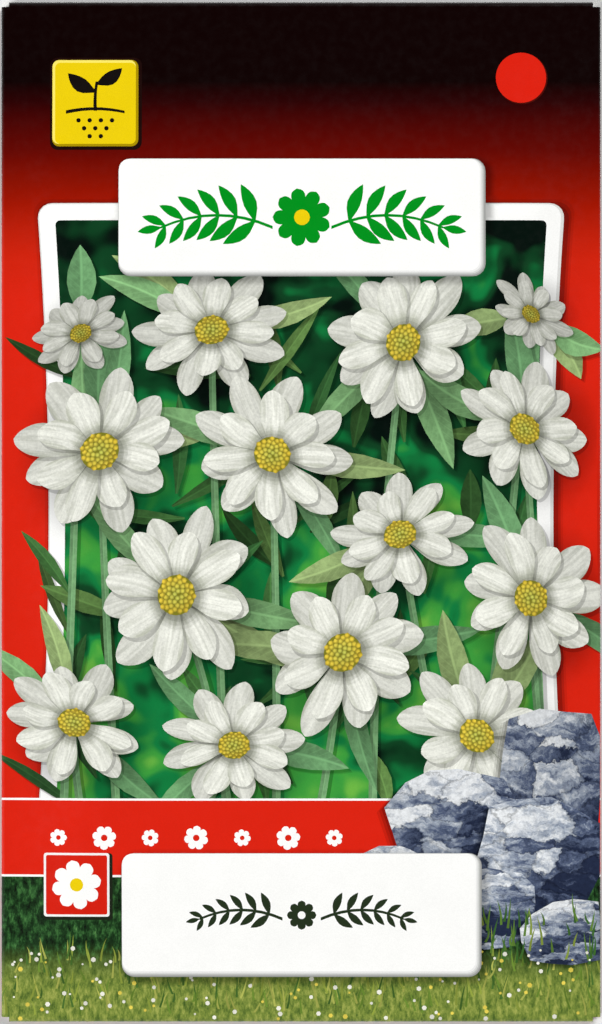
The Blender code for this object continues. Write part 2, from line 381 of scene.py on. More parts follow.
def draw_leaf(page, draw, x, y, angle, length, width, tone, hue):
    """A long leaf with a rib, and its shade on what is under it."""
    tip = (x + length * math.cos(angle), y + length * math.sin(angle))
    bend = draw.uniform(-0.5, 0.5)
    for out, left in ((0.62, 0.78), (0.42, 0.72)):
        page.blade((x + out, y - out), (tip[0] + out, tip[1] - out), width * 1.05, LEAF, "shadow", left, bend)
    page.blade((x, y), tip, width, LEAF, "leaf", ink(hue, tone), bend, draw.random())


def draw_panel(page):
    """The picture's white border with its shadow, and the blurred backdrop in it."""
    left, low, right, top = PANEL
    for by, light_left in ((1.1, 0.86), (0.7, 0.74), (0.3, 0.66)):
        page.add(bowed(rounded_box(*grown(PANEL, by, (0.5, -0.5)), 2.4)), "shadow", light_left)
    page.add(bowed(rounded_box(*PANEL, 2.4)), "flat_ink", ink("#dededa"))
    page.add(bowed(rounded_box(*grown(PANEL, -0.35, (-0.15, 0.15)), 2.1)), "flat_ink", WHITE)
    inner = rounded_box(left + PANEL_BORDER, low, right - PANEL_BORDER, top - PANEL_BORDER, 0.8)
    page.add(bowed(inner), "backdrop", PLAIN)


FLOWERS = (  # x, y, radius, squash, turn of the squash, brightness; the ones in front come last
    (-34.5, 28.0, 7.5, 0.80, 0.4, 0.72),
    (36.0, 31.0, 6.8, 0.75, 2.4, 0.70),
    (-14.0, 28.5, 11.4, 0.84, 0.2, 0.92),
    (16.0, 26.5, 12.6, 0.90, 1.2, 0.96),
    (35.0, 13.0, 11.2, 0.82, 2.3, 0.95),
    (-31.5, 9.5, 13.4, 0.90, 0.7, 0.98),
    (-4.5, 9.0, 12.4, 0.94, 2.6, 1.0),
    (15.5, -3.5, 11.0, 0.84, 0.3, 0.96),
    (36.0, -13.5, 12.2, 0.90, 1.9, 0.98),
    (-19.5, -13.0, 13.6, 0.92, 1.4, 1.0),
    (-35.5, -33.0, 11.2, 0.84, 2.9, 0.96),
    (6.5, -22.0, 13.2, 0.93, 0.9, 1.0),
    (-10.5, -36.5, 10.6, 0.86, 0.1, 0.97),
    (27.5, -35.0, 12.0, 0.90, 2.5, 1.0),
)


def draw_picture(page):
    """The panel's picture: white daisies over leaves and a blurred green backdrop."""
    draw = random.Random(11)
    left, low, right, _ = PANEL
    draw_panel(page)
    back_leaves = 64
    for i in range(back_leaves):
        x = draw.uniform(left + 4, right - 4)
        y = draw.uniform(low + 2, 22)
        angle = math.pi / 2 + draw.gauss(0, 0.75)
        draw_leaf(page, draw, x, y, angle, draw.uniform(9, 17), draw.uniform(1.8, 3.4),
                  0.16 + 0.5 * i / back_leaves, draw.choice(("#5e9a52", "#7fae5e", "#4f8c4c")))
    for x, y, radius, *_ in FLOWERS:
        root = (x + draw.uniform(-9, 9), low - 1)
        if y > low + radius:
            bend = draw.uniform(-2, 2)
            page.blade((root[0] + 0.5, root[1]), (x + 0.5, y), 1.5, STEM, "shadow", 0.6, bend)
            page.blade(root, (x, y), 1.35, STEM, "leaf", ink("#7fb07a", 0.85), bend)
    for x, y, radius, *_ in FLOWERS:
        for _ in range(3):
            angle = draw.uniform(0, math.tau)
            draw_leaf(page, draw, x + 3 * math.cos(angle), y + 3 * math.sin(angle), angle, radius * 1.45,
                      draw.uniform(3.4, 4.8), draw.uniform(0.75, 1.0),
                      draw.choice(("#86b77b", "#9db677", "#74a872")))
    for flower in FLOWERS:
        draw_flower(page, draw, *flower)


def draw_plate(page, box, radius=2.0):
    """A white plate that seems to stand off the print: a shadow under it and a grey bevel."""
    left, low, right, top = box
    cx, cy = middle_of(box)
    hx, hy = (right - left) / 2, (top - low) / 2

    def darkness(x, y):
        dx = np.abs(x - cx - 0.55) - hx + radius
        dy = np.abs(y - cy + 0.55) - hy + radius
        away = np.hypot(np.maximum(dx, 0), np.maximum(dy, 0)) - radius
        return 1 - 0.55 * (1 - smooth((away + 0.2) / 1.5))

    page.shade(darkness)
    for by in (0.3, 0.7, 1.15, 1.7):
        page.points += spread(rounded_box(*grown(box, by, (0.4, -0.4)), radius + by), 1.2)
    bevel = ((0, 0, "#9a9b98"), (-0.12, 0.10, "#b9bab7"), (-0.24, 0.20, "#d6d7d4"), (-0.36, 0.30, "#ececea"))
    for by, shift, colour in bevel:
        page.add(rounded_box(*grown(box, by, (-shift, shift)), radius + by), "flat_ink", ink(colour))
    page.add(rounded_box(*grown(box, -0.5, (-0.4, 0.4)), radius - 0.4), "flat_ink", WHITE)


def draw_small_flower(page, x, y, radius, colour, heart, petals=8, turn=0.0):
    """A plain flower sign: blunt petals round a dot."""
    here = Vector((x, y))
    for i in range(petals):
        angle = turn + math.tau * i / petals
        way = Vector((math.cos(angle), math.sin(angle))) * radius
        page.blade(here + way * 0.2, here + way, radius * 4.4 / petals, BLUNT_PETAL, "flat_ink", colour)
    page.add(ring(x, y, radius * 0.27, 14), "flat_ink", heart)


def draw_sprig(page, x, y, side, length, colour, size, leaves=6):
    """A leafy twig that runs out sideways from x, y, with its leaves in pairs."""
    arch = 0.11 * length
    root, tip = Vector((x, y)), Vector((x + side * length, y))
    page.blade(root, tip, 0.5, STEM, "flat_ink", colour, side * arch / 0.25)
    for i in range(leaves):
        t = 0.16 + 0.80 * i / (leaves - 1)
        start = Vector((x + side * length * t, y + arch * 4 * t * (1 - t)))
        slope = math.atan(arch / length * 4 * (1 - 2 * t))
        long = size * (1 - 0.42 * t)
        for up in (1, -1):
            angle = slope + (0.95 - 0.2 * t) * up
            way = Vector((side * math.cos(angle), math.sin(angle)))
            page.blade(start, start + way * long, long * 0.34, LEAF, "flat_ink", colour, 0.30 * up * side)
    page.blade(tip, tip + Vector((side * size * 0.55, -arch * 0.35)), size * 0.2, LEAF, "flat_ink", colour)


def draw_sowing_sign(page):
    """The yellow sign: a seedling on a line of ground, with seeds under it."""
    cx, ground = middle_of(YELLOW_SIGN)[0], YELLOW_SIGN[1] + 5.6
    for by, shift, radius, colour in (
        (0.45, 0.1, 1.2, ink("#1c0806")), (0.0, 0.0, 1.1, ink("#a98e00")),
        (-0.22, -0.18, 0.95, ink("#fbe96a")), (-0.42, 0.02, 0.8, YELLOW),
    ):
        page.add(rounded_box(*grown(YELLOW_SIGN, by, (shift, -shift)), radius), "flat_ink", colour)
    for x0, y0, x1, y1, width, profile, bend in (
        (-4.6, -0.2, 4.6, -0.2, 0.55, STEM, 1.9), (0.0, 0.0, 0.25, 4.6, 0.55, STEM, 0.5),
        (0.0, 3.0, -4.3, 5.9, 2.3, LEAF, 0.35), (0.2, 4.2, 4.2, 6.7, 2.1, LEAF, -0.35),
    ):
        page.blade((cx + x0, ground + y0), (cx + x1, ground + y1), width, profile, "flat_ink", BLACK, bend)
    for row, count in enumerate((4, 3, 2)):
        for i in range(count):
            x = cx + (i - (count - 1) / 2) * 1.75
            page.add(ring(x, ground - 1.5 - row * 1.25, 0.36, 10), "flat_ink", BLACK)


def draw_signs(page):
    """The small signs of the front, all of them plain: sowing, price spot and flower badge."""
    draw_sowing_sign(page)
    x, y, radius = PRICE_DISC
    page.add(ring(x + 0.12, y - 0.12, radius + 0.1, 40), "flat_ink", ink("#4a0a04"))
    page.add(ring(x, y, radius, 40), "flat_ink", ink("#da2110"))
    page.add(rounded_box(*grown(BADGE, 0.25, (0.25, -0.25)), 0.5), "flat_ink", ink("#1d2418"))
    page.add(rounded_box(*BADGE, 0.4), "flat_ink", ink("#f2f0ee"))
    page.add(rounded_box(*grown(BADGE, -0.35), 0.3), "flat_ink", ink("#d3200f"))
    draw_small_flower(page, *middle_of(BADGE), 3.9, WHITE, YELLOW, turn=0.2)


def draw_plate_ornament(page, box, colour, twig, flower):
    """A flower between two twigs, in the middle of a plate. twig is how far out and down a twig starts,
    its length and its largest leaf; flower is the radius, the heart's colour, the petals and the turn."""
    cx, cy = middle_of(box)
    out, down, length, size = twig
    radius, *more = flower
    for side in (-1, 1):
        draw_sprig(page, cx + side * out, cy - down, side, length, colour, size)
    draw_small_flower(page, cx, cy, radius, colour, *more)


def draw_ornaments(page):
    """What fills the two white plates and the red band: twigs and small flowers."""
    draw_plate_ornament(page, NAME_PLATE, GREEN, (4.6, 1.6, 17.5, 6.6), (4.6, YELLOW, 9, 0.35))
    draw_plate_ornament(page, TITLE_PLATE, DARK_GREEN, (3.0, 0.6, 13.0, 3.9), (2.3, WHITE, 8, 0.0))
    first, apart, y = -38, 7.2, (BAND_LOW + BAND_HIGH) / 2
    for i in range(7):
        radius = 1.9 if i % 2 else 1.35
        draw_small_flower(page, first + i * apart, y, radius, WHITE, RED, 7, 0.2 * i)


def draw_grass_blade(page, draw, root, tip, width, hues, darkest):
    """One blade of grass in one of some hues."""
    colour = ink(draw.choice(hues), draw.uniform(darkest, 1.0))
    page.blade(root, tip, width, GRASS, "flat_ink", colour, draw.uniform(-1.5, 1.5))


def draw_landscape(page):
    """Under the picture: a dark hedge and a meadow, which run on over the lower fold."""
    draw = random.Random(5)
    page.add(strip(-END_BEND - 0.7 * math.pi * END_FOLD, BAND_LOW), "meadow", PLAIN)
    for _ in range(260):
        x, y = draw.uniform(-47, 47), draw.uniform(-79, -70)
        tip = (x + draw.uniform(-1.2, 1.2), y + draw.uniform(1.8, 4.6))
        draw_grass_blade(page, draw, (x, y), tip, 0.34, ("#6f8f35", "#98a845", "#4c7230", "#b3b95a"), 0.6)


def draw_band(page):
    """The red band over the landscape, between two white lines."""
    page.add(strip(BAND_LOW, BAND_HIGH), "flat_ink", BAND_RED)
    for y in (BAND_LOW, BAND_HIGH):
        page.add(strip(y - BAND_LINE / 2, y + BAND_LINE / 2), "flat_ink", WHITE)


def draw_stone(page, draw, x, y, wide, high, tone):
    """A broken boulder; its own coordinates are -1 to 1 both ways, for the light on it."""
    outline = []
    corners, edge, shadow_edge = 13, 46.9, 46.95
    for i in range(corners):
        turn = math.tau * (i + draw.uniform(-0.3, 0.3)) / corners
        square = max(abs(math.cos(turn)), abs(math.sin(turn))) ** -0.4
        out = draw.uniform(0.86, 1.06) * square
        outline.append((min(edge, x + wide / 2 * out * math.cos(turn)), y + high / 2 * out * math.sin(turn)))

    def place(px, py):
        return (px - x) / wide * 2, (py - y) / high * 2

    for out, left in ((1.2, 0.80), (0.8, 0.72), (0.4, 0.66)):
        page.add([(min(shadow_edge, px - out), py - out * 0.6) for px, py in outline], "shadow", left)
    page.add(outline, "rock", ink("#ffffff", tone), place, draw.random())


def draw_stones(page):
    """The stones, which stand in front of the band's end, with grass and small flowers round them."""
    draw = random.Random(23)
    for x, y, wide, high, tone in (
        (40, -41, 20, 22, 0.80), (24, -49, 22, 18, 0.88), (38, -54, 21, 18, 0.98), (14, -57, 14, 10, 0.90),
        (28, -62, 18, 13, 1.0), (42, -66, 15, 11, 0.92),
    ):
        draw_stone(page, draw, x, y, wide, high, tone)
    for _ in range(70):
        x = draw.uniform(12, 46)
        y = draw.uniform(-71, -64)
        tip = (x + draw.uniform(-1, 1), y + draw.uniform(2, 5))
        draw_grass_blade(page, draw, (x, y), tip, 0.4, ("#5d8034", "#86993f", "#3f6a2e"), 0.7)
    for _ in range(150):
        x, y = draw.uniform(-46.5, 46.5), draw.uniform(-79.5, -68)
        outline = ring(x, y, draw.uniform(0.16, 0.42), 6, draw.uniform(0, 1))
        colour = ink(draw.choice(("#f4f3e4", "#f4f3e4", "#efd95a")), draw.uniform(0.75, 1.0))
        page.add(outline, "flat_ink", colour)


def draw_back(page):
    """The back panel and the tab: cream, with a plain sowing calendar and a pale flower."""
    past, inset = END_BEND + 1, 1.2
    page.add(plain_box(BACK_END - 1, -past, BACK_START - inset, past), "flat_ink", CREAM)
    page.add(plain_box(TAB_START + inset, -past, TAB_END + 1, past), "flat_ink", CREAM)
    middle = (BACK_START + BACK_END) / 2
    page.add(rounded_box(middle - 34, 34, middle + 30, 44, 2), "flat_ink", RED)
    for month in range(12):
        x = middle - 34 + month * 5.4
        for y, hue, busy in ((20, YELLOW, (2, 3, 4)), (12, GREEN, (5, 6, 7, 8))):
            page.add(rounded_box(x, y, x + 4.8, y + 6, 0.6), "flat_ink", ink("#8c9a7c"))
            fill = hue if month in busy else CREAM
            page.add(rounded_box(x + 0.25, y + 0.25, x + 4.55, y + 5.75, 0.5), "flat_ink", fill)
    draw_small_flower(page, middle - 2, -24, 12, ink("#cfd8bf"), ink("#e7d56a"), 12)


def flat_sheet():
    """The outline of the unfolded sheet, anticlockwise from the back's lower corner."""
    def flap(end, way):
        """A flap's outline, from left to right at the bottom or right to left at the top."""
        near, far, corner = -FLAP_ROOT, -FLAP_ROOT + FLAP_TAPER, FLAP_CORNER
        left = [(near, way * END_BEND), (near, way * FLAP_START), (far - 0.4, end - way * corner),
                (far + 0.3 * corner, end - way * 0.3 * corner), (far + corner, end)]
        right = [(-x, y) for x, y in left]
        return left + right[::-1] if way < 0 else right + left[::-1]

    return [(BACK_END, -END_BEND), *flap(FOOT, -1), (TAB_END, -END_BEND), (TAB_END, END_BEND), *flap(HEAD, 1),
            (BACK_END, END_BEND)]


def draw_print():
    """The whole print, from the bare sheet up, and the lines along which the sheet is bent."""
    page = Print()
    page.add(flat_sheet(), "ground", PLAIN)
    draw_back(page)
    draw_picture(page)
    draw_landscape(page)
    draw_band(page)
    draw_stones(page)
    draw_plate(page, NAME_PLATE)
    draw_plate(page, TITLE_PLATE)
    draw_signs(page)
    draw_ornaments(page)
    bends = 8
    for i in range(bends + 1):
        turn = math.pi * i / bends
        for s in (LEFT_BEND - LEFT_FOLD * turn, RIGHT_BEND + RIGHT_FOLD * turn):
            page.lines.append(((s, -END_BEND), (s, END_BEND)))
        for v in (END_BEND + END_FOLD * turn, -END_BEND - END_FOLD * turn):
            page.lines.append(((-FLAP_ROOT, v), (FLAP_ROOT, v)))
    return page


# From the print to a mesh

def lattice(low, high, step):
    """Points over a box of the flat sheet, about step apart, in rows that are shifted like bricks."""
    wide, tall = high[0] - low[0], high[1] - low[1]
    across, along = max(2, round(wide / step)), max(2, round(tall / step))
    return [(low[0] + wide * (i + 0.5 + 0.25 * (-1) ** j) / across, low[1] + tall * (j + 0.5) / along)
            for i in range(across) for j in range(along)]


def triangulate(outlines, lines, points):
    """Triangles of the first outline that keep every other outline and line: their places and corners."""
    places, edges = [], []
    for chain in [outline + outline[:1] for outline in outlines] + [list(line) for line in lines]:
        edges += [(len(places) + i, len(places) + i + 1) for i in range(len(chain) - 1)]
        places += [Vector(p) for p in chain]
    places += [Vector(p) for p in points]
    places, _, triangles, _, _, _ = delaunay_2d_cdt(places, edges, [], 0, 2e-4)
    places, triangles = np.array([tuple(p) for p in places]), np.array(triangles)
    triangles = triangles[inside(outlines[0], places[triangles].mean(axis=1))]
    used, again = np.unique(triangles, return_inverse=True)
    return places[used], again.reshape(triangles.shape)


def inside(outline, spots):
    """Which of some places are inside an outline."""
    x, y = spots[:, 0], spots[:, 1]
    odd = np.zeros(len(spots), bool)
    for (ax, ay), (bx, by) in zip(outline, outline[1:] + outline[:1]):
        if ay != by:
            odd ^= ((ay > y) != (by > y)) & (x < (bx - ax) * (y - ay) / (by - ay) + ax)
    return odd


def printed_on(page, spots):
    """For each place, the number of the shape that shows there, and how much light its shadows leave."""
    top, light = np.zeros(len(spots), int), np.ones(len(spots))
    for number, outline in enumerate(page.outlines):
        low, high = np.min(outline, axis=0), np.max(outline, axis=0)
        near = np.flatnonzero(((spots >= low) & (spots <= high)).all(axis=1))
        hit = near[inside(outline, spots[near])]
        if number in page.shadows:
            light[hit] *= page.shadows[number]
        else:
            top[hit], light[hit] = number, 1.0
    return top, light


def border_of(triangles):
    """The edges that only one triangle has, in that triangle's direction."""
    edges = np.concatenate([triangles[:, [0, 1]], triangles[:, [1, 2]], triangles[:, [2, 0]]])
    known = {(a, b) for a, b in edges.tolist()}
    return np.array([(a, b) for a, b in known if (b, a) not in known])


def ink_of_corners(page, spots, top, light):
    """For each triangle's corners: the ink's colour with the shape's seed, and its place in the shape."""
    shape = np.repeat(top, 3)
    x, y = spots[:, 0], spots[:, 1]
    colour = np.ones((len(spots), 4))
    mark = np.zeros((len(spots), 2))
    for number in np.unique(shape):
        here = np.flatnonzero(shape == number)
        mark[here, 0], mark[here, 1] = page.places[number](x[here], y[here])
        colour[here, :3] = page.colours[number]
        colour[here, 3] = page.seeds[number]
    colour[:, :3] *= np.repeat(np.maximum(light, 0.22), 3)[:, None]
    for order, darkness in page.shades:
        under = np.flatnonzero(shape < order)
        colour[under, :3] *= darkness(x[under], y[under])[:, None]
    return colour, mark


def flat_layout(outer_spots, inner_spots, rim_count):
    """Texture places: the print as it lies flat, and in its free corners the bare side and the cut edge."""
    corner = np.array([BACK_END, FOOT])
    size = 204.0
    rim = np.array([(0.0, 0.0), (1.0, 0.0), (1.0, 0.02), (0.0, 0.02)])
    return np.concatenate([
        (outer_spots - corner + 1) / size,
        (inner_spots - corner) / size * 0.08 + (0.02, 0.90),
        np.tile(rim, (rim_count, 1)) * 0.02 + (0.14, 0.92),
    ])


def folded(spots, side):
    """Places of the flat sheet on the folded paper's outer side, 1, or its inner side, -1."""
    s, v = spots[:, 0], spots[:, 1]
    return sheet(s, v) + side * PAPER / 2 * sheet_normals(s, v)


def make_envelope(page, finishes):
    """The envelope: the print's triangles folded as the outer side, a bare inner side, and the cut edge."""
    near = lattice((-WIDTH / 2, -HEIGHT / 2), (WIDTH / 2, HEIGHT / 2), FRONT_GRID)
    fine = lattice(PANEL[:2], PANEL[2:], PICTURE_GRID)
    far = lattice((BACK_END, -END_BEND), (BACK_START, END_BEND), BACK_GRID)
    places, outer = triangulate(page.outlines, page.lines, near + fine + far + page.points)
    bare_places, inner = triangulate(page.outlines[:1], page.lines, near + far)
    inner = inner[:, ::-1]
    top, light = printed_on(page, places[outer].mean(axis=1))
    border = border_of(outer)
    on_border, seat = np.unique(border, return_inverse=True)
    count, more = len(places), len(bare_places)
    seat = seat.reshape(border.shape) + count + more
    rim = np.stack([border[:, 1], border[:, 0], seat[:, 0], seat[:, 1]], axis=1)
    vertices = np.concatenate([folded(places, 1), folded(bare_places, -1), folded(places[on_border], -1)])
    mesh = bpy.data.meshes.new("envelope_print")
    mesh.from_pydata((vertices * MM).tolist(), [], outer.tolist() + (inner + count).tolist() + rim.tolist())

    bare_faces = np.full(len(inner) + len(rim), FINISHES.index("bare_paper"))
    kinds = np.concatenate([np.array(page.finishes)[top], bare_faces])
    mesh.polygons.foreach_set("material_index", kinds.astype(np.int32))
    for finish in finishes:
        mesh.materials.append(finish)

    outer_spots, inner_spots = places[outer.reshape(-1)], bare_places[inner.reshape(-1)]
    colour, mark = ink_of_corners(page, outer_spots, top, light)
    bare = len(inner_spots) + len(rim) * 4
    ink_layer = mesh.color_attributes.new("ink", "FLOAT_COLOR", "CORNER")
    ink_layer.data.foreach_set("color", np.concatenate([colour, np.ones((bare, 4))]).reshape(-1))
    flat_layer = mesh.uv_layers.new(name="OFBake")
    flat_layer.data.foreach_set("uv", flat_layout(outer_spots, inner_spots, len(rim)).reshape(-1))
    mark_layer = mesh.uv_layers.new(name="mark")
    mark_layer.data.foreach_set("uv", np.concatenate([mark, np.zeros((bare, 2))]).reshape(-1))
    mesh.uv_layers.active = mesh.uv_layers["OFBake"]

    mesh.shade_smooth()
    normals = [sheet_normals(outer_spots[:, 0], outer_spots[:, 1]),
               -sheet_normals(inner_spots[:, 0], inner_spots[:, 1]), np.zeros((len(rim) * 4, 3))]
    mesh.normals_split_custom_set(np.concatenate(normals).tolist())
    mesh.update()
    settle(new_object("envelope_print", mesh), "envelope")


def new_object(name, data):
    """An object of the scene."""
    made = bpy.data.objects.new(name, data)
    bpy.context.scene.collection.objects.link(made)
    return made


def settle(piece, node):
    """The piece stands for a CAD node, whose part it hides, on the one body there is."""
    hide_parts(node)
    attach(piece, "root")


# Materials

class Nodes:
    """Adds nodes to one tree. A value is a plain one or another node's output."""

    def __init__(self, tree):
        self.tree = tree

    def plug(self, value, socket):
        """A value into a socket."""
        if isinstance(value, bpy.types.NodeSocket):
            self.tree.links.new(value, socket)
        else:
            socket.default_value = value

    def add(self, kind, inputs=None, **settings):
        """A node with its settings and its inputs. Kind may leave out the words ShaderNode."""
        made = self.tree.nodes.new(kind if "Node" in kind else "ShaderNode" + kind)
        for name, value in settings.items():
            setattr(made, name, value)
        for key, value in (inputs or {}).items():
            self.plug(value, made.inputs[key])
        return made

    def maths(self, operation, a, b=0.0, c=0.0):
        """The output of a Math node."""
        return self.add("Math", {0: a, 1: b, 2: c}, operation=operation).outputs[0]

    def times(self, a, b):
        """Two values multiplied."""
        return self.maths("MULTIPLY", a, b)

    def plus(self, a, b):
        """Two values added."""
        return self.maths("ADD", a, b)

    def between(self, value, low, high, out_low=0.0, out_high=1.0):
        """value taken from low and high to out_low and out_high, eased at both ends."""
        return self.add("MapRange", {0: value, 1: low, 2: high, 3: out_low, 4: out_high},
                        interpolation_type="SMOOTHSTEP").outputs[0]

    def split(self, vector):
        """The three parts of a vector."""
        return self.add("SeparateXYZ", {0: vector}).outputs

    def vectors(self, operation, a, b):
        """The output of a Vector Math node on two vectors, or of a vector scaled by b."""
        made = self.add("VectorMath", {0: a, 3 if operation == "SCALE" else 1: b}, operation=operation)
        return made.outputs["Value" if operation == "DOT_PRODUCT" else 0]

    def mixed(self, share, a, b, blend="MIX"):
        """Two colours mixed; a plain colour is given with three parts."""
        made = self.add("Mix", {0: share}, data_type="RGBA", blend_type=blend)
        for key, value in ((6, a), (7, b)):
            self.plug(value if isinstance(value, bpy.types.NodeSocket) else (*value, 1.0), made.inputs[key])
        return made.outputs[2]

    def tinted(self, a, b):
        """Two colours multiplied."""
        return self.mixed(1.0, a, b, "MULTIPLY")

    def toned(self, colour, first, *others):
        """A colour made darker or lighter by the product of some numbers."""
        for other in others:
            first = self.times(first, other)
        return self.vectors("SCALE", colour, first)

    def noise(self, where, scale, detail=2.0, roughness=0.5, **more):
        """The output of a Noise Texture."""
        inputs = {"Vector": where, "Scale": scale, "Detail": detail, "Roughness": roughness, **more}
        return self.add("TexNoise", inputs, noise_dimensions="3D").outputs[0]

    def cell_edges(self, where, scale):
        """How far it is to the nearest edge of a cell."""
        made = self.add("TexVoronoi", {"Vector": where, "Scale": scale}, feature="DISTANCE_TO_EDGE")
        return made.outputs["Distance"]

    def ramp(self, value, *stops, interpolation="LINEAR"):
        """A Color Ramp's colour: stops are pairs of position and colour."""
        made = self.add("ValToRGB", {0: value})
        made.color_ramp.interpolation = interpolation
        elements = made.color_ramp.elements
        while len(elements) < len(stops):
            elements.new(0.5)
        for element, (position, colour) in zip(elements, stops):
            element.position = position
            element.color = (*(ink(colour) if isinstance(colour, str) else colour), 1.0)
        return made.outputs[0]

    def here(self):
        """The place on the object."""
        return self.add("TexCoord").outputs["Object"]

    def bump(self, height, strength=1.0, distance=1.0):
        """The normals of a surface with that height."""
        return self.add("Bump", {"Strength": strength, "Distance": distance, "Height": height}).outputs[0]


def new_material(name, roughness=0.5, metallic=0.0):
    """A new material, its nodes and its Principled shader's inputs."""
    made = bpy.data.materials.new(name)
    made.use_nodes = True
    inputs = made.node_tree.nodes["Principled BSDF"].inputs
    inputs["Roughness"].default_value = roughness
    inputs["Metallic"].default_value = metallic
    return made, Nodes(made.node_tree), inputs


def make_coated_paper():
    """A node group: what coated paper does to any ink: faint mottling, worn folds, gloss and fibres."""
    group = bpy.data.node_groups.new("coated_paper", "ShaderNodeTree")
    group.interface.new_socket("Ink", in_out="INPUT", socket_type="NodeSocketColor")
    for name, kind in (("Colour", "Color"), ("Roughness", "Float"), ("Normal", "Vector")):
        group.interface.new_socket(name, in_out="OUTPUT", socket_type="NodeSocket" + kind)
    n = Nodes(group)
    start, end = group.nodes.new("NodeGroupInput"), group.nodes.new("NodeGroupOutput")
    where = n.here()
    x, y, _ = n.split(where)

    mottle = n.between(n.noise(where, 190, 3), 0.3, 0.7, 0.985, 1.01)
    grain = n.between(n.noise(where, 5200, 1), 0.3, 0.7, 0.975, 1.025)
    light = n.times(mottle, grain)
    colour = n.tinted(start.outputs["Ink"], n.add("CombineColor", {0: light, 1: light, 2: light}).outputs[0])

    from_side = n.maths("SUBTRACT", WIDTH / 2 * MM, n.maths("ABSOLUTE", x))
    from_end = n.maths("SUBTRACT", HEIGHT / 2 * MM, n.maths("ABSOLUTE", y))
    edge = n.between(n.maths("MINIMUM", from_side, from_end), 0.00018, 0.00002)
    patchy = n.between(n.noise(where, 950, 4, 0.7), 0.50, 0.72)
    worn = n.times(n.times(edge, patchy), 0.22)

    fibres = n.times(n.noise(where, 2600, 3, 0.6), 0.0000025)
    swell = n.times(n.noise(where, 90), 0.00009)
    gloss = n.between(n.noise(where, 700, 3), 0.25, 0.75, 0.18, 0.27)
    n.plug(n.mixed(worn, colour, ink("#eee9e2")), end.inputs["Colour"])
    n.plug(n.plus(gloss, n.times(worn, 0.4)), end.inputs["Roughness"])
    n.plug(n.bump(n.plus(fibres, swell)), end.inputs["Normal"])
    return group


def printed(name, paper, colour_of):
    """A material of printed paper. colour_of adds the nodes of its own ink and gives their colour."""
    made, n, inputs = new_material(name)
    inks = n.add("VertexColor", layer_name="ink").outputs
    mark = n.add("UVMap", uv_map="mark").outputs[0]
    surface = made.node_tree.nodes.new("ShaderNodeGroup")
    surface.node_tree = paper
    n.plug(colour_of(n, inks["Color"], inks["Alpha"], mark), surface.inputs["Ink"])
    n.plug(surface.outputs["Colour"], inputs["Base Color"])
    n.plug(surface.outputs["Roughness"], inputs["Roughness"])
    n.plug(surface.outputs["Normal"], inputs["Normal"])
    inputs["Specular IOR Level"].default_value = 0.32
    return made


def ground_ink(n, colour, seed, mark):
    """The front's ground: black at the top, running into red."""
    share = n.add("MapRange", {0: n.split(mark)[1], 1: -HEIGHT / 2, 2: HEIGHT / 2}).outputs[0]
    stops = ((33.1, "#d82310"), (39.4, "#ce220c"), (44.0, "#b91d07"), (48.7, "#9b1300"), (51.8, "#860f00"),
             (56.5, "#620500"), (64.3, "#2a0001"), (67.5, "#0d0000"))
    return n.tinted(n.ramp(share, *[((y + HEIGHT / 2) / HEIGHT, code) for y, code in stops]), colour)


def flat_ink(n, colour, seed, mark):
    """One even ink."""
    return colour


def backdrop_ink(n, colour, seed, mark):
    """Leaves far behind, out of focus: soft blotches from black to bright green."""
    broad = n.times(n.noise(mark, 0.075, 2, 0.45, Distortion=0.8), 0.75)
    fine = n.times(n.noise(mark, 0.2, 1, 0.4), 0.25)
    lower = n.between(n.split(mark)[1], 30.0, -30.0, -0.05, 0.06)
    value = n.plus(n.plus(broad, fine), lower)
    shown = n.ramp(value, (0.36, "#03100a"), (0.46, "#0d3f20"), (0.54, "#117a3d"), (0.61, "#3c9a3c"),
                   (0.70, "#6db544"), interpolation="EASE")
    return n.tinted(shown, colour)


def petal_ink(n, colour, seed, mark):
    """A petal: fine lengthwise veins, round edges, a shaded root and a woolly surface."""
    across, along, _ = n.split(mark)
    streaks = n.add("CombineXYZ", {0: n.times(across, 3.2), 1: n.times(along, 1.1), 2: n.times(seed, 57.0)})
    veins = n.between(n.noise(streaks.outputs[0], 1.6, 3), 0.32, 0.68, 0.84, 1.05)
    ribs = n.maths("MULTIPLY_ADD", n.maths("COSINE", n.times(across, 6.6)), 0.035, 0.98)
    edges = n.maths("MULTIPLY_ADD", n.maths("POWER", n.maths("ABSOLUTE", across), 3.0), -0.28, 1.0)
    root = n.between(along, 0.02, 0.42, 0.60, 1.0)
    wool = n.between(n.noise(n.here(), 2300, 3, 0.7), 0.3, 0.7, 0.90, 1.06)
    shown = n.toned(colour, veins, ribs, edges, root, wool)
    shade = n.between(n.times(n.times(veins, edges), root), 0.95, 0.6)
    return n.mixed(n.times(shade, 0.35), shown, n.tinted(shown, ink("#c5cfa6")))


def leaf_ink(n, colour, seed, mark):
    """A leaf: a pale rib, side veins, one half in shade and a soft bloom."""
    across, along, _ = n.split(mark)
    away = n.maths("ABSOLUTE", across)
    rib = n.between(away, 0.14, 0.02)
    slant = n.maths("SUBTRACT", n.times(along, 11.0), n.times(away, 2.2))
    side_veins = n.between(n.maths("PINGPONG", slant, 0.5), 0.12, 0.0, 0.0, 0.22)
    halves = n.between(across, -0.25, 0.25, 1.06, 0.80)
    bloom = n.between(n.noise(n.here(), 850, 4, 0.65), 0.3, 0.7, 0.80, 1.12)
    veined = n.maths("MAXIMUM", n.times(rib, 0.7), side_veins)
    return n.mixed(veined, n.toned(colour, halves, bloom), n.toned(colour, 1.45))


def floret_ink(n, colour, seed, mark):
    """A floret: a small dome, light on top."""
    out = n.add("VectorMath", {0: mark}, operation="LENGTH").outputs["Value"]
    return n.toned(colour, n.between(out, 0.15, 1.0, 1.08, 0.50))


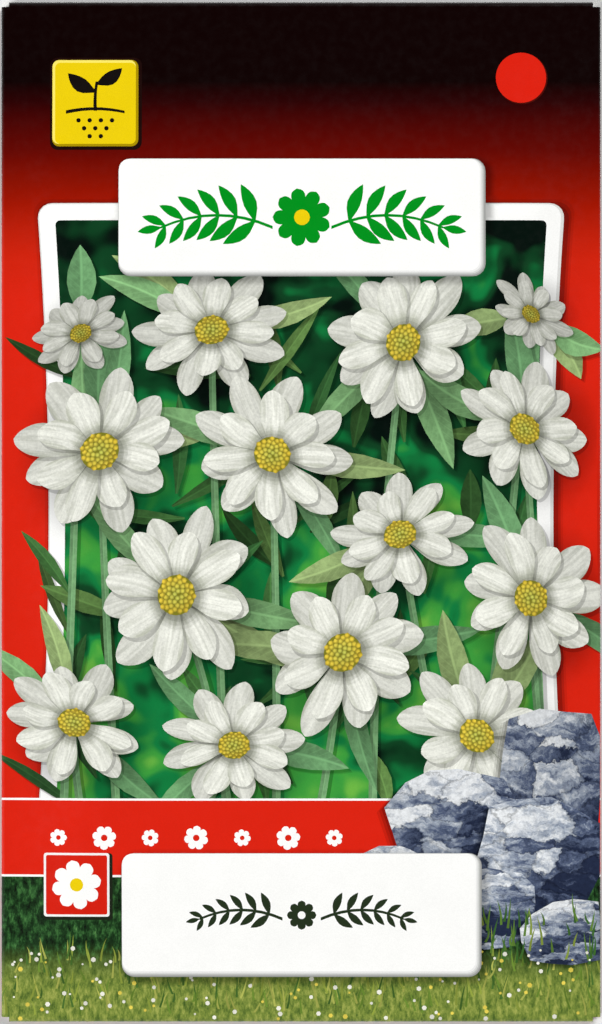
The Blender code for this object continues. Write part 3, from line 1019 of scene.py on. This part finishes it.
def rock_ink(n, colour, seed, mark):
    """Pale rock, lit from the upper left: broken faces that catch the light, ledges, grain and cracks."""
    apart = n.add("CombineXYZ", {2: n.times(seed, 40.0)}).outputs[0]
    moved = n.vectors("ADD", mark, apart)
    jagged = n.add("TexNoise", {"Vector": moved, "Scale": 2.2, "Detail": 5.0, "Roughness": 0.65}).outputs[1]
    bent = n.vectors("ADD", moved, n.vectors("SCALE", jagged, 0.55))
    turned = n.add("Mapping", {0: bent, "Rotation": (0, 0, 0.7), "Scale": (1.2, 2.6, 1.0)}).outputs[0]
    tilt = n.split(n.add("TexVoronoi", {"Vector": turned, "Scale": 1.15}).outputs["Color"])[0]
    ledges = n.maths("MULTIPLY_ADD", n.noise(turned, 2.6, 7, 0.7), 1.25, -0.36)
    light = n.vectors("DOT_PRODUCT", mark, (-0.17, 0.20, 0.0))
    shown = n.ramp(n.plus(ledges, n.maths("MULTIPLY_ADD", tilt, 0.42, light)), (0.20, "#232c44"),
                   (0.40, "#56627d"), (0.56, "#9fa9b8"), (0.78, "#eef1f3"))
    cracks = n.between(n.cell_edges(turned, 1.15), 0.0, 0.05, 0.60, 1.0)
    grain = n.between(n.noise(n.here(), 1500, 3, 0.7), 0.3, 0.7, 0.84, 1.10)
    return n.toned(n.tinted(shown, colour), cracks, grain)


def meadow_ink(n, colour, seed, mark):
    """A dark hedge above and bright grass below."""
    clumps = n.noise(n.vectors("MULTIPLY", mark, (1.3, 0.55, 1.0)), 0.9, 5, 0.75)
    lower = n.between(n.plus(n.split(mark)[1], n.times(clumps, 5.0)), -65.0, -72.0)
    hedge = n.ramp(clumps, (0.36, "#0d170c"), (0.50, "#1c3a1c"), (0.62, "#3a6a36"), (0.74, "#6b9a58"))
    grass = n.ramp(clumps, (0.34, "#3f5a24"), (0.50, "#76893a"), (0.64, "#a3ab55"))
    return n.tinted(n.mixed(lower, hedge, grass), colour)


def bare_paper():
    """The inner side and the cut edge: white, matt and fibrous."""
    made, n, inputs = new_material("bare_paper")
    fibres = n.noise(n.here(), 1800, 5, 0.7)
    n.plug(n.ramp(fibres, (0.3, "#dcd8cd"), (0.7, "#f6f4ee")), inputs["Base Color"])
    n.plug(n.between(fibres, 0.3, 0.7, 0.75, 0.92), inputs["Roughness"])
    n.plug(n.bump(fibres, 0.6, 0.00001), inputs["Normal"])
    return made


def make_finishes():
    """One material for each of FINISHES, in that order."""
    paper = make_coated_paper()
    inks = (ground_ink, flat_ink, backdrop_ink, petal_ink, leaf_ink, floret_ink, rock_ink, meadow_ink)
    return [printed("print_" + name, paper, each) for name, each in zip(FINISHES, inks)] + [bare_paper()]


def glue_material():
    """Dried glue: amber, uneven and full of small bubbles."""
    made, n, inputs = new_material("dried_glue", roughness=0.35)
    where = n.here()
    uneven = n.noise(where, 240, 4)
    bubbles = n.add("TexVoronoi", {"Vector": where, "Scale": 1400.0}).outputs["Distance"]
    n.plug(n.ramp(uneven, (0.35, "#cdb98a"), (0.65, "#efe4c6")), inputs["Base Color"])
    n.plug(n.bump(n.plus(uneven, n.between(bubbles, 0.12, 0.3, -0.5, 0.0)), 0.5, 0.00003), inputs["Normal"])
    return made


def foil_material():
    """Metallised film: silvery and softly creased, with a crimped rim."""
    made, n, inputs = new_material("sachet_film", metallic=0.9)
    where = n.here()
    x, y, _ = n.split(where)

    def on_rim(away, size):
        """0 on the pouch and 1 on the welded rim, by how far a place is from the middle."""
        start, eased = size / 2 - SEAL, 0.3
        return n.between(away, start * MM, (start + eased) * MM)

    aside = n.maths("ABSOLUTE", x)
    up = n.maths("ABSOLUTE", n.maths("SUBTRACT", y, SACHET_Y * MM))
    rim = n.maths("MAXIMUM", on_rim(aside, SACHET_WIDTH), on_rim(up, SACHET_HEIGHT))
    ridges = n.times(n.maths("PINGPONG", n.plus(x, y), 0.4 * MM), 0.12)
    folds = n.times(n.between(n.cell_edges(where, 110.0), 0.0, 0.35), 0.22 * MM)
    haze = n.noise(where, 260, 3)
    n.plug(n.ramp(haze, (0.3, "#cdd0d3"), (0.7, "#e0e1e3")), inputs["Base Color"])
    n.plug(n.between(haze, 0.3, 0.7, 0.27, 0.36), inputs["Roughness"])
    n.plug(n.bump(n.add("Mix", {0: rim, 2: folds, 3: ridges}).outputs[0]), inputs["Normal"])
    return made


def husk_material():
    """Seed husk: brown, ridged and dull, each seed a little lighter or darker than the next. The core under
    the seeds has no tone, so it comes out darkest: painted shade in the gaps between the seeds.
    """
    made, n, inputs = new_material("seed_husk", roughness=0.7)
    fine = n.noise(n.here(), 3500, 4, 0.7)
    # Only the seeds carry a tone; the core, left at 0, takes the darkest browns as painted shade between the
    # seeds.
    tone = n.times(n.add("Attribute", attribute_name="tone").outputs["Fac"], 0.6)
    value = n.maths("MULTIPLY_ADD", fine, 0.5, tone)
    n.plug(n.ramp(value, (0.20, "#24160b"), (0.42, "#5b3c20"), (0.85, "#b48d5a")), inputs["Base Color"])
    n.plug(n.bump(fine, 0.7, 0.00003), inputs["Normal"])
    return made


# What is inside

def make_film(name, node, side, swell, finish):
    """One film of the sachet, 1 the front and -1 the back: a flat rim and a creased pouch."""
    step, cad_film = 1.0, 0.1
    low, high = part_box(node)
    rim_z = (low.z if side > 0 else high.z) / MM + side * cad_film / 2
    across, along = round(SACHET_WIDTH / step), round(SACHET_HEIGHT / step)
    x, y = np.meshgrid(np.linspace(-SACHET_WIDTH / 2, SACHET_WIDTH / 2, across + 1),
                       np.linspace(-SACHET_HEIGHT / 2, SACHET_HEIGHT / 2, along + 1))
    from_side = SACHET_WIDTH / 2 - SEAL - np.abs(x)
    from_end = SACHET_HEIGHT / 2 - SEAL - np.abs(y)
    inflated = smooth(least(from_side / 11, from_end / 15, 1.0)) * ((from_side > 0) & (from_end > 0))
    creases = 0.05 * np.sin(0.9 * x + 1.3 * np.sin(0.31 * y)) * np.sin(0.7 * y + 0.4 * x) * inflated
    z = rim_z + side * (swell - 0.08) * inflated + creases
    spots = np.stack([x, y + SACHET_Y, z], axis=-1).reshape(-1, 3) * MM
    row = across + 1
    faces = [(j * row + i, j * row + i + 1, (j + 1) * row + i + 1, (j + 1) * row + i)
             for j in range(along) for i in range(across)]
    mesh = bpy.data.meshes.new(name)
    mesh.from_pydata(spots.tolist(), [], faces)
    mesh.materials.append(finish)
    mesh.shade_smooth()
    piece = new_object(name, mesh)
    wall = piece.modifiers.new("thickness", "SOLIDIFY")
    wall.thickness, wall.offset = FILM * MM, 0.0
    settle(piece, node)


def seed_heap_nodes(centre, finish):
    """Geometry nodes that strew spindle-shaped seeds over a thin core and make one mesh of them.
    The core is a node too, because the sphere operator doesn't keep the order of its faces from
    run to run, and the seeds are strewn face by face."""
    tree = bpy.data.node_groups.new("seed_heap", "GeometryNodeTree")
    for name, kind, value in (
        ("Centre", "Vector", centre), ("Core", "Vector", (0.0260, 0.0340, 0.0006)),
        ("Density", "Float", 1500000.0), ("Length", "Float", 0.0013), ("Width", "Float", 0.00042),
        ("Seed", "Int", 4),
    ):
        socket = tree.interface.new_socket(name, in_out="INPUT", socket_type="NodeSocket" + kind)
        socket.default_value = value
    tree.interface.new_socket("Geometry", in_out="OUTPUT", socket_type="NodeSocketGeometry")
    n = Nodes(tree)
    given, end = tree.nodes.new("NodeGroupInput").outputs, tree.nodes.new("NodeGroupOutput")
    seed = given["Seed"]

    ball = n.add("GeometryNodeMeshUVSphere", {"Segments": 40, "Rings": 16, "Radius": 0.5})
    core = n.add("GeometryNodeTransform", {
        "Geometry": ball.outputs["Mesh"], "Translation": given["Centre"], "Scale": given["Core"]}).outputs[0]
    spots = n.add("GeometryNodeDistributePointsOnFaces", {
        "Mesh": core, "Density": given["Density"], "Seed": seed})
    grain = n.add("GeometryNodeMeshUVSphere", {"Segments": 7, "Rings": 5, "Radius": 0.5})
    girth = n.add("CombineXYZ", {0: given["Length"], 1: given["Width"], 2: given["Width"]})
    lying = n.add("GeometryNodeTransform", {
        "Geometry": grain.outputs["Mesh"], "Rotation": (0, math.pi / 2, 0)})
    slim = n.add("GeometryNodeTransform", {"Geometry": lying.outputs[0], "Scale": girth.outputs[0]})
    turn = n.add("FunctionNodeRandomValue", {0: (-0.4, -0.4, 0.0), 1: (0.4, 0.4, math.tau), "Seed": seed},
                 data_type="FLOAT_VECTOR")
    size = n.add("FunctionNodeRandomValue", {2: 0.8, 3: 1.1, "Seed": seed}, data_type="FLOAT")
    tone = n.add("FunctionNodeRandomValue", {2: 0.2, 3: 1.0, "Seed": 9}, data_type="FLOAT")
    seeds = n.add("GeometryNodeInstanceOnPoints", {
        "Points": spots.outputs["Points"], "Instance": slim.outputs[0], "Rotation": turn.outputs["Value"],
        "Scale": size.outputs[1]})
    toned = n.add("GeometryNodeStoreNamedAttribute", {
        "Geometry": seeds.outputs[0], "Name": "tone", "Value": tone.outputs[1]},
        domain="INSTANCE", data_type="FLOAT")
    real = n.add("GeometryNodeRealizeInstances", {0: toned.outputs[0]})
    both = n.add("GeometryNodeJoinGeometry", {0: real.outputs[0]})
    # The core gets no tone, so it shows in the darkest husk colours, as painted shade in the gaps between the
    # seeds.
    n.plug(core, both.inputs[0])
    painted = n.add("GeometryNodeSetMaterial", {"Geometry": both.outputs[0], "Material": finish})
    n.plug(painted.outputs[0], end.inputs[0])
    return tree


def make_seeds(finish):
    """The seeds of the sachet, in place of the CAD heap: a thin core under a layer of loose seeds."""
    low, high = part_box("seeds")
    bare = new_object("bare_heap", bpy.data.meshes.new("bare_heap"))
    bare.modifiers.new("seeds", "NODES").node_group = seed_heap_nodes((low + high) / 2, finish)
    bpy.context.view_layer.update()
    mesh = bpy.data.meshes.new_from_object(bare.evaluated_get(bpy.context.evaluated_depsgraph_get()))
    bpy.data.objects.remove(bare)
    mesh.name = "seed_heap"
    mesh.shade_smooth()
    settle(new_object("seed_heap", mesh), "seeds")


def make_inside():
    """Glue, sachet and seeds. The glue keeps its CAD shape."""
    glue, foil = glue_material(), foil_material()
    for name in ("side_seam_glue", "bottom_flap_glue", "top_flap_glue"):
        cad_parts[name].material_slots[0].material = glue
    make_film("sachet_front", "sachet_upper_film", 1, POUCH_UP, foil)
    make_film("sachet_back", "sachet_lower_film", -1, POUCH_DOWN, foil)
    make_seeds(husk_material())


# Floor, light and camera

def make_stage():
    """A plain pale floor, larger than any view of it."""
    sides = 64
    mesh = bpy.data.meshes.new("floor")
    corners = [(x, y, -FLOOR_DROP) for x, y in ring(0.0, 0.0, FLOOR_RADIUS, sides)]
    mesh.from_pydata(corners, [], [list(range(sides))])
    paint, _, inputs = new_material("floor_paint", roughness=0.9)
    inputs["Base Color"].default_value = (0.80, 0.80, 0.79, 1)
    mesh.materials.append(paint)
    new_object("floor", mesh)


def make_light(name, place, size, power):
    """A square soft light that points at the packet."""
    data = bpy.data.lights.new(name, "AREA")
    data.shape, data.size, data.energy = "SQUARE", size, power
    light = new_object(name, data)
    light.location = place
    light.rotation_euler = Vector(place).to_track_quat("Z", "Y").to_euler()


def make_lights():
    """Two large soft lights on opposite sides, and a room that gets darker overhead."""
    make_light("light_upper_right", (2.40, 3.15, 3.15), 2.4, 214)
    make_light("light_lower_left", (-3.45, -2.10, 2.70), 2.4, 202)
    world = bpy.data.worlds.new("room")
    bpy.context.scene.world = world
    world.use_nodes = True
    n = Nodes(world.node_tree)
    up = n.split(n.add("TexCoord").outputs["Generated"])[2]
    stops = ((0.0, 0.91), (0.05, 0.86), (0.13, 0.40), (0.30, 0.30), (0.55, 0.18), (0.85, 0.03))
    shown = n.ramp(up, *[(height, (grey, grey, grey)) for height, grey in stops])
    n.plug(shown, world.node_tree.nodes["Background"].inputs["Color"])


def make_camera():
    """Straight above the packet, far enough off to see it flat, with a narrow margin all round."""
    data = bpy.data.cameras.new("camera")
    away = CAMERA_HEIGHT - EDGE_HEIGHT
    data.lens = data.sensor_width * away / (HEIGHT * MM * CAMERA_MARGIN)
    data.clip_start = 0.01
    camera = new_object("camera", data)
    camera.location = (0, 0, CAMERA_HEIGHT)
    bpy.context.scene.camera = camera


make_envelope(draw_print(), make_finishes())
make_inside()
make_stage()
make_lights()
make_camera()
bpy.context.scene.view_settings.view_transform = "Standard"
bpy.context.scene.view_settings.look = "None"
